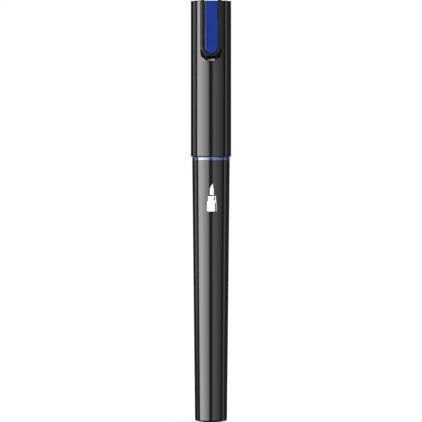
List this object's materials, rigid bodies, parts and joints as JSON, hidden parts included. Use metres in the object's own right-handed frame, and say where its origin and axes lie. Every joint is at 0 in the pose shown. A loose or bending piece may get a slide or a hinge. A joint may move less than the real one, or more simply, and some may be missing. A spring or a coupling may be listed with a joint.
{
  "type": "acrylic paint marker",
  "caption": "Capped acrylic paint marker: tapered barrel, coloured collar, pull-off cap with a sprung pocket clip and inlay, and a brush nib on a spring-loaded pump valve.",
  "frame": {"origin": "centre of the flat on the tail plug's end, on the marker's axis", "axes": "+Z along the marker's axis from the tail to the cap, -Y out of the pocket clip's face, +X to the right of someone facing the clip"},
  "size_m": [0.0134, 0.014, 0.1413],
  "materials": {
    "gloss_black": "polished moulded plastic",
    "section_black": "satin moulded plastic",
    "ink_blue": "polished moulded plastic",
    "natural_plastic": "uncoloured moulded plastic",
    "stained_fibre": "bonded fibre soaked with paint",
    "steel": "bright",
    "seal_rubber": "matt"
  },
  "bodies": {
    "barrel": {"barrel": "gloss_black", "tail_plug": "gloss_black", "collar_ring": "ink_blue", "front_section": "section_black", "valve_seat": "natural_plastic", "valve_cage": "natural_plastic", "valve_spring": "steel"},
    "cap": {"cap_shell": "gloss_black", "crown": "gloss_black", "crown_insert": "ink_blue", "inner_cap": "natural_plastic"},
    "clip": {"clip": "gloss_black", "clip_insert": "ink_blue"},
    "pump": {"brush_nib": "stained_fibre", "nib_holder": "natural_plastic", "valve_plunger": "natural_plastic", "plunger_seal": "seal_rubber"},
    "ball": {"mixing_ball": "steel"}
  },
  "joints": [
    {"name": "cap_pull", "type": "slide", "parent": "barrel", "child": "cap", "axis": [0, 0, 1], "range_m": [0, 0.045]},
    {"name": "clip_flex", "type": "hinge", "parent": "cap", "child": "clip", "pos_m": [0, -0.0062, 0.14033], "axis": [-1, 0, 0], "range_deg": [0, 4], "stiffness_Nm_per_rad": 0.3},
    {"name": "nib_press", "type": "slide", "parent": "barrel", "child": "pump", "axis": [0, 0, -1], "range_m": [0, 0.002], "stiffness_N_per_m": 300, "springref_m": -0.003, "deforming": ["valve_spring"]},
    {"name": "ball_shake", "type": "slide", "parent": "barrel", "child": "ball", "axis": [0, 0, 1], "range_m": [0, 0.0692]}
  ]
}
